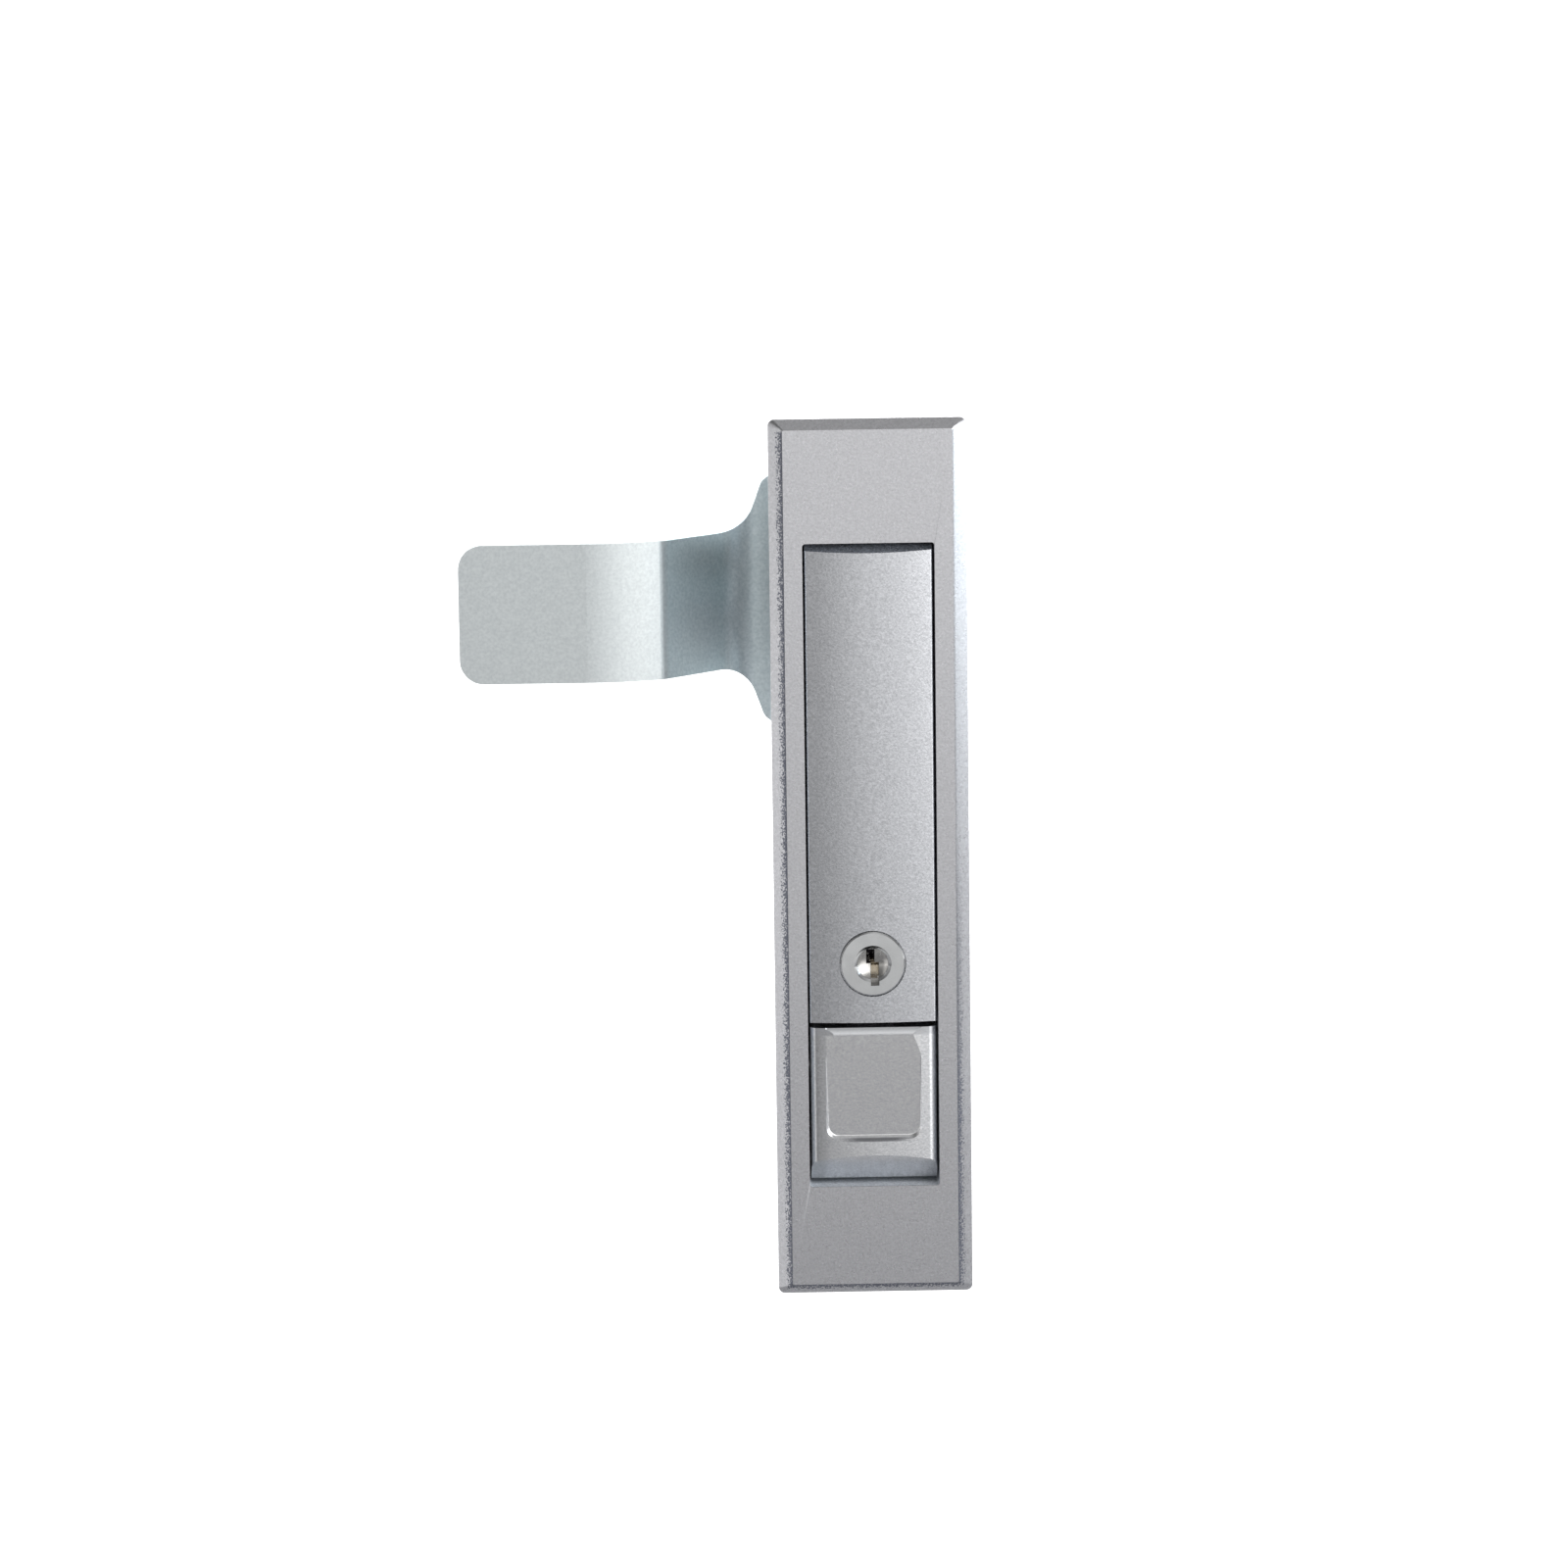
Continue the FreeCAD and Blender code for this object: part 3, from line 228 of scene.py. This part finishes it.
def housing_finish():
    """Satin chrome on the face, dull in the step round it and bare casting inside the pocket.

    The step gets painted shade and a rougher finish on its left side and low down, but not along its
    top.
    """
    m = Nodes("satin_chrome_housing")
    x, y, z = m.axes()

    speckle = m.noise(SATIN_SPECKLE, detail=3.0)
    chrome = m.speckled(speckle, (0.58, 0.58, 0.598), (0.72, 0.72, 0.745))
    # The bare casting in the pocket is partly its own rougher, less metallic finish and partly
    # painted light: its colour is paler than such a casting, so the sill that the button shades
    # looks lit
    cast_painted_lighter = m.speckled(speckle, (0.51, 0.54, 0.585), (0.86, 0.895, 0.94))

    past_side = m.math("SUBTRACT", m.math("ABSOLUTE", x), FACE_HALF_WIDTH)
    past_end = m.math("SUBTRACT", m.math("ABSOLUTE", z), FACE_HALF_HEIGHT)
    past_face = m.larger(past_side, past_end)
    ragged = m.span(m.noise(0.3), *STEP_RAGGED)
    inner = m.rise(past_face, *STEP_INNER)
    outer = m.fall(m.math("ADD", past_face, ragged), *STEP_OUTER)
    front = m.fall(y, *STEP_Y)
    # Painted shade, together with a rougher finish, goes on the step's left side and low down, not
    # along its top
    left_or_low = m.larger(m.fall(x, *STEP_LEFT_X), m.fall(z, *STEP_LOW_Z))
    dull = m.times(left_or_low, m.fall(z, *STEP_TOP_Z))
    step = m.times(m.times(inner, outer), m.times(front, dull))
    pocket = m.times(m.window(*POCKET, POCKET_SOFT), m.between(y, *POCKET_Y, POCKET_SOFT))

    m.into("Base Color", m.blend(pocket, m.blend(step, chrome, STEP_SHADE_COLOUR), cast_painted_lighter))
    m.into("Metallic", m.span(pocket, 1.0, CAST_METALLIC, from_low=0.0, from_high=1.0))
    smooth = m.span(m.noise(SATIN_WEAR, detail=3.0), 0.27, 0.30)
    dulled = m.larger(smooth, m.times(step, STEP_ROUGHNESS))
    m.into("Roughness", m.larger(dulled, m.times(pocket, CAST_ROUGHNESS)))
    m.into("Normal", m.grain(SATIN_GRAIN, SATIN_GRAIN_DEPTH))
    return m.material


# The tongue's crease, and the bend that leads to it, which gets painted shade

CREASE_X = -0.0375
BEND_X = (CREASE_X - 0.012, CREASE_X - 0.005)
PAST_CREASE_X = (CREASE_X - 0.001, CREASE_X + 0.001)


def tongue_finish():
    """Zinc plating: pale on the blade, with painted shade over the bend that dims its highlight, and
    a blue-green painted reflection past the crease.
    """
    m = Nodes("zinc_plated_tongue")
    m.set("Metallic", 1.0)
    x, _, _ = m.axes()
    speckle = m.noise(0.55, detail=3.0)
    blade = m.speckled(speckle, (0.69, 0.735, 0.745), (0.81, 0.855, 0.86))
    # The darker bend is painted shade that dims the highlight there; the paler blue-green past the
    # crease is a painted reflection
    bend_painted_shade = m.speckled(speckle, (0.52, 0.55, 0.555), (0.63, 0.665, 0.665))
    slope_painted_reflection = m.speckled(speckle, (0.68, 0.79, 0.82), (0.86, 0.96, 0.985))
    before_crease = m.blend(m.rise(x, *BEND_X), blade, bend_painted_shade)
    m.into("Base Color", m.blend(m.rise(x, *PAST_CREASE_X), before_crease, slope_painted_reflection))
    m.into("Roughness", m.span(m.noise(1.4, detail=3.0), 0.36, 0.40))
    m.into("Normal", m.grain(0.5, 0.008))
    return m.material


# The button's left side, its dish, the dish's upper lip and the line of painted shade along its
# lower wall

BUTTON_LEFT_X = (-0.0105, -0.0080)
DISH = (-0.0085, 0.0085, -0.0517, -0.0311)
UPPER_LIP = (-0.0120, 0.0120, -0.0323, -0.0305)
DISH_SOFT = 0.0004
SHADE_LINE_X = (-0.0030, 0.0040)
SHADE_LINE_SOFT_X = 0.0035
SHADE_LINE_Z = (-0.05250, -0.05210)
SHADE_LINE_SOFT_Z = 0.0002
SHADE_LINE_SHARE = 0.8


def button_finish():
    """Satin chrome, lighter in the dish, with painted shade along its left side, under the dish's
    lower wall and on the dish's upper lip.
    """
    m = Nodes("satin_chrome_button")
    m.set("Metallic", 1.0)
    x, _, z = m.axes()
    speckle = m.noise(SATIN_SPECKLE, detail=3.0)
    top = m.speckled(speckle, (0.76, 0.77, 0.79), (0.95, 0.955, 0.97))
    # Painted shade: the darker left side, the dark line under the dish's lower wall and the darker
    # upper lip
    left = m.speckled(speckle, (0.56, 0.57, 0.58), (0.72, 0.725, 0.735))
    dish = m.speckled(speckle, (0.86, 0.865, 0.88), (1.0, 1.0, 1.0))
    painted_shade_line = m.times(m.between(x, *SHADE_LINE_X, SHADE_LINE_SOFT_X), m.between(z, *SHADE_LINE_Z, SHADE_LINE_SOFT_Z))
    colour = m.blend(m.fall(x, *BUTTON_LEFT_X), top, left)
    colour = m.blend(m.window(*DISH, DISH_SOFT), colour, dish)
    colour = m.blend(m.times(painted_shade_line, SHADE_LINE_SHARE), colour, (0.20, 0.205, 0.22))
    colour = m.blend(m.window(*UPPER_LIP, DISH_SOFT), colour, (0.66, 0.67, 0.69))
    m.into("Base Color", colour)
    m.into("Roughness", m.span(m.noise(SATIN_WEAR, detail=3.0), 0.24, 0.27))
    m.into("Normal", m.grain(SATIN_GRAIN, SATIN_GRAIN_DEPTH))
    return m.material


# The handle's catch nose, the notch in the barrel's rim and the two halves of the stepped keyway,
# which get painted shade

CATCH_NOSE = (-0.02, 0.02, -0.05, -0.03012)
RIM_NOTCH = (-0.00037, 0.00117, -0.02305, -0.0190)
KEYWAY_UPPER = (-0.00117, 0.00037, -0.0190, -0.0163)
KEYWAY_LOWER = (-0.00037, 0.00117, -0.0217, -0.0190)

METALS = {
    "satin_chrome_handle": dict(
        dark=(0.54, 0.548, 0.57), light=(0.75, 0.76, 0.79), rough=(0.25, 0.28),
        cloud_mm=SATIN_SPECKLE, grain_mm=SATIN_GRAIN, grain_depth=SATIN_GRAIN_DEPTH,
        cloud_span=(0.3, 0.7), shade_windows=[CATCH_NOSE]),
    "chrome_cylinder": dict(
        dark=(0.71, 0.72, 0.725), light=(0.77, 0.78, 0.785), rough=(0.13, 0.17),
        cloud_mm=3.0, grain_mm=0.15, grain_depth=0.001, shade_windows=[RIM_NOTCH]),
    "cylinder_plug": dict(
        dark=(0.52, 0.51, 0.49), light=(0.64, 0.63, 0.60), rough=(0.20, 0.32),
        cloud_mm=1.6, grain_mm=0.12, grain_depth=0.0015, shade_windows=[KEYWAY_UPPER, KEYWAY_LOWER]),
    "brass_wafers": dict(
        dark=(0.66, 0.55, 0.40), light=(0.84, 0.75, 0.60), rough=(0.22, 0.36),
        cloud_mm=1.2, grain_mm=0.10, grain_depth=0.0015),
    "raw_zinc": dict(
        dark=(0.36, 0.37, 0.39), light=(0.54, 0.55, 0.57), rough=(0.38, 0.55),
        cloud_mm=4.0, grain_mm=0.45, grain_depth=0.015, wave_mm=3.5, wave_depth=0.02),
    "bright_steel": dict(
        dark=(0.56, 0.56, 0.57), light=(0.70, 0.70, 0.70), rough=(0.16, 0.26),
        cloud_mm=3.0, grain_mm=0.10, grain_depth=0.0015, stretch=(0.1, 1, 1)),
    "spring_steel": dict(
        dark=(0.20, 0.20, 0.21), light=(0.38, 0.38, 0.39), rough=(0.24, 0.38),
        cloud_mm=1.5, grain_mm=0.12, grain_depth=0.002),
    "plated_steel": dict(
        dark=(0.55, 0.58, 0.60), light=(0.72, 0.74, 0.75), rough=(0.24, 0.38),
        cloud_mm=4.0, grain_mm=0.35, grain_depth=0.004, wave_mm=6.0, wave_depth=0.02),
    "plated_fasteners": dict(
        dark=(0.56, 0.59, 0.60), light=(0.74, 0.75, 0.76), rough=(0.20, 0.32),
        cloud_mm=1.8, grain_mm=0.15, grain_depth=0.002),
}

FINISHES = {name: metal(name, **look) for name, look in METALS.items()}
FINISHES["satin_chrome_housing"] = housing_finish()
FINISHES["satin_chrome_button"] = button_finish()
FINISHES["zinc_plated_tongue"] = tongue_finish()


# The CAD pieces take their finishes, and some of them slightly broken edges

SLOTS = {item["node"]: item["material_slot"] for item in frame["record"]["subparts"]}

EDGE_BREAK_MM = {"housing": 0.15, "hinge_head": 0.2, "upper_bracket": 0.2, "lower_bracket": 0.2}
SAME_CORNER = 2e-6
SHARP_ANGLE = math.radians(24)


def break_edges(thing, width_mm):
    """Joins the faces' shared corners and rounds the sharp edges between them."""
    weld = thing.modifiers.new("join_faces", "WELD")
    weld.merge_threshold = SAME_CORNER
    bevel = thing.modifiers.new("broken_edges", "BEVEL")
    bevel.width = width_mm / 1000.0
    bevel.segments = 3
    bevel.limit_method = "ANGLE"
    bevel.angle_limit = SHARP_ANGLE
    bevel.use_clamp_overlap = True
    normals = thing.modifiers.new("face_normals", "WEIGHTED_NORMAL")
    normals.mode = "FACE_AREA"
    normals.weight = 50


for name, thing in NODES.items():
    thing.data.materials.clear()
    thing.data.materials.append(FINISHES[SLOTS[name]])
    if name in EDGE_BREAK_MM:
        break_edges(thing, EDGE_BREAK_MM[name])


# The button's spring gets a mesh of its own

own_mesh(NODES["button_spring"])


# Stage: a pale floor that curves up into a backdrop

FLOOR_Z = -0.30
HALF_WIDTH = 6.0
FRONT_EDGE = -1.1
BACK_FOOT = 2.2
CURVE_RADIUS = 1.4
CURVE_STEPS = 24
BACK_TOP = 4.5

PAPER_WHITE_FROM = 0.5
PAPER = [(0.0, (0.25, 0.25, 0.26)), (0.69, (0.36, 0.36, 0.37)), (1.0, (0.92, 0.92, 0.92))]


def sweep_backdrop():
    line = [(FRONT_EDGE, FLOOR_Z), (BACK_FOOT, FLOOR_Z)]
    for n in range(1, CURVE_STEPS + 1):
        turn = math.radians(90 * n / CURVE_STEPS)
        line.append((BACK_FOOT + CURVE_RADIUS * math.sin(turn),
                     FLOOR_Z + CURVE_RADIUS * (1 - math.cos(turn))))
    line.append((BACK_FOOT + CURVE_RADIUS, BACK_TOP))
    shape = bmesh.new()
    left = [shape.verts.new((-HALF_WIDTH, y, z)) for y, z in line]
    right = [shape.verts.new((HALF_WIDTH, y, z)) for y, z in line]
    for a, b, c, d in zip(left, right, right[1:], left[1:]):
        shape.faces.new((a, b, c, d)).smooth = True
    mesh = bpy.data.meshes.new("studio_floor")
    shape.to_mesh(mesh)
    shape.free()
    thing = bpy.data.objects.new("studio_floor", mesh)
    bpy.context.scene.collection.objects.link(thing)
    return thing


def floor_material():
    """Graded paper: white behind the lock and greyer in front of it, where its face looks."""
    m = Nodes("studio_paper")
    _, y, _ = m.axes()
    m.into("Base Color", m.ramp(m.rise(y, FRONT_EDGE, PAPER_WHITE_FROM), PAPER))
    m.set("Roughness", 0.95)
    m.set("Specular IOR Level", 0.0)
    return m.material


floor = sweep_backdrop()
floor.data.materials.append(floor_material())


# Light

def area_light(name, place, aim, size, radiance, colour=(1, 1, 1)):
    """A rectangular softbox given by how bright its face looks."""
    data = bpy.data.lights.new(name, "AREA")
    data.shape = "RECTANGLE"
    data.size, data.size_y = size
    data.energy = radiance * math.pi * size[0] * size[1]
    data.color = colour
    lamp = bpy.data.objects.new(name, data)
    lamp.location = place
    lamp.rotation_euler = (Vector(aim) - Vector(place)).to_track_quat("-Z", "Y").to_euler()
    bpy.context.scene.collection.objects.link(lamp)


def around(azimuth, elevation, distance):
    """A place seen from the lock: azimuth 0 is straight in front, positive to its right."""
    a = math.radians(azimuth)
    e = math.radians(elevation)
    return Vector((math.sin(a) * math.cos(e), -math.cos(a) * math.cos(e), math.sin(e))) * distance


MIDDLE = Vector((-0.02, 0.0, 0.0))
PALE_BLUE = (0.80, 0.92, 1.0)

area_light("key_right", MIDDLE + around(42, 16, 1.6), MIDDLE, (1.3, 0.9), 2.20)
area_light("card_left", MIDDLE + around(-60, 12, 1.6), MIDDLE, (0.45, 1.5), 0.33)
area_light("card_low", MIDDLE + around(44, -11, 0.8), MIDDLE, (0.40, 0.20), 0.9)
area_light("edge_right", (0.555, -0.27, 0.14), (0.02, 0, 0.07), (0.30, 0.30), 1.95, PALE_BLUE)
area_light("edge_left", (-0.555, -0.27, -0.20), (-0.02, 0, -0.05), (0.25, 0.36), 0.6)
area_light("backdrop_light", (0, 1.9, 1.6), (0, 1.7, FLOOR_Z), (4.0, 1.6), 5.0)

# The room's brightness by direction is the product of three: upwards, to the right and to the back

SKY_UP = [
    (-1.0, 0.06), (-0.42, 0.10), (-0.30, 0.28), (-0.20, 0.475), (-0.10, 1.02), (-0.03, 1.20),
    (0.10, 0.82), (0.30, 0.62), (0.55, 0.35), (0.80, 0.34), (1.0, 0.50),
]
SKY_RIGHT = [
    (-1.0, 0.40), (-0.93, 0.44), (-0.85, 0.58), (-0.72, 0.52), (-0.50, 0.37), (-0.25, 0.48),
    (0.0, 0.92), (0.2, 1.03), (0.6, 1.0), (0.88, 0.54), (1.0, 1.1),
]
SKY_BACK = [(-1.0, 1.0), (-0.25, 1.0), (0.25, 0.40), (1.0, 0.40)]
SKY_STRENGTH = 1.11


def studio_sky():
    """A big screen in front of the lock, dimmer to its left, in a room that is dark behind."""
    world = bpy.data.worlds.new("studio")
    bpy.context.scene.world = world
    world.use_nodes = True
    tree = world.node_tree
    back = tree.nodes["Background"]
    coordinates = tree.nodes.new("ShaderNodeTexCoord")
    parts = tree.nodes.new("ShaderNodeSeparateXYZ")
    tree.links.new(coordinates.outputs["Generated"], parts.inputs[0])

    def graded(axis, stops):
        span = tree.nodes.new("ShaderNodeMapRange")
        span.inputs["From Min"].default_value = -1.0
        span.inputs["From Max"].default_value = 1.0
        tree.links.new(parts.outputs[axis], span.inputs["Value"])
        ramp = tree.nodes.new("ShaderNodeValToRGB")
        elements = ramp.color_ramp.elements
        while len(elements) < len(stops):
            elements.new(0.5)
        for element, (place, tone) in zip(elements, stops):
            element.position = (place + 1) / 2
            element.color = (tone, tone, tone, 1.0)
        tree.links.new(span.outputs["Result"], ramp.inputs["Fac"])
        return ramp.outputs["Color"]

    def times(first, second):
        mix = tree.nodes.new("ShaderNodeMixRGB")
        mix.blend_type = "MULTIPLY"
        mix.inputs["Fac"].default_value = 1.0
        tree.links.new(first, mix.inputs["Color1"])
        tree.links.new(second, mix.inputs["Color2"])
        return mix.outputs["Color"]

    tones = times(times(graded("Z", SKY_UP), graded("X", SKY_RIGHT)), graded("Y", SKY_BACK))
    tree.links.new(tones, back.inputs["Color"])
    back.inputs["Strength"].default_value = SKY_STRENGTH


studio_sky()
bpy.context.scene.view_settings.view_transform = "Standard"


# Camera, at the angle that was fitted to the photograph

CAMERA_AZIMUTH = -1.0
CAMERA_ELEVATION = 8.847
CAMERA_ROLL = -0.752
CAMERA_DISTANCE = 0.9714
CAMERA_TARGET = Vector((-0.015898, 0.0, 0.014315))
FOCAL_OVER_WIDTH = 5377.5 / 1600.0
SENSOR = 36.0

outward = around(CAMERA_AZIMUTH, CAMERA_ELEVATION, 1.0)
side = Vector((0, 0, 1)).cross(outward).normalized()
top = outward.cross(side)
roll = math.radians(CAMERA_ROLL)
right = side * math.cos(roll) + top * math.sin(roll)
up = outward.cross(right)
spot = CAMERA_TARGET + outward * CAMERA_DISTANCE

lens = bpy.data.cameras.new("photo_camera")
lens.sensor_width = SENSOR
lens.lens = FOCAL_OVER_WIDTH * SENSOR
lens.clip_start = 0.05
eye = bpy.data.objects.new("photo_camera", lens)
eye.matrix_world = Matrix((
    (right.x, up.x, outward.x, spot.x),
    (right.y, up.y, outward.y, spot.y),
    (right.z, up.z, outward.z, spot.z),
    (0, 0, 0, 1),
))
bpy.context.scene.collection.objects.link(eye)
bpy.context.scene.camera = eye
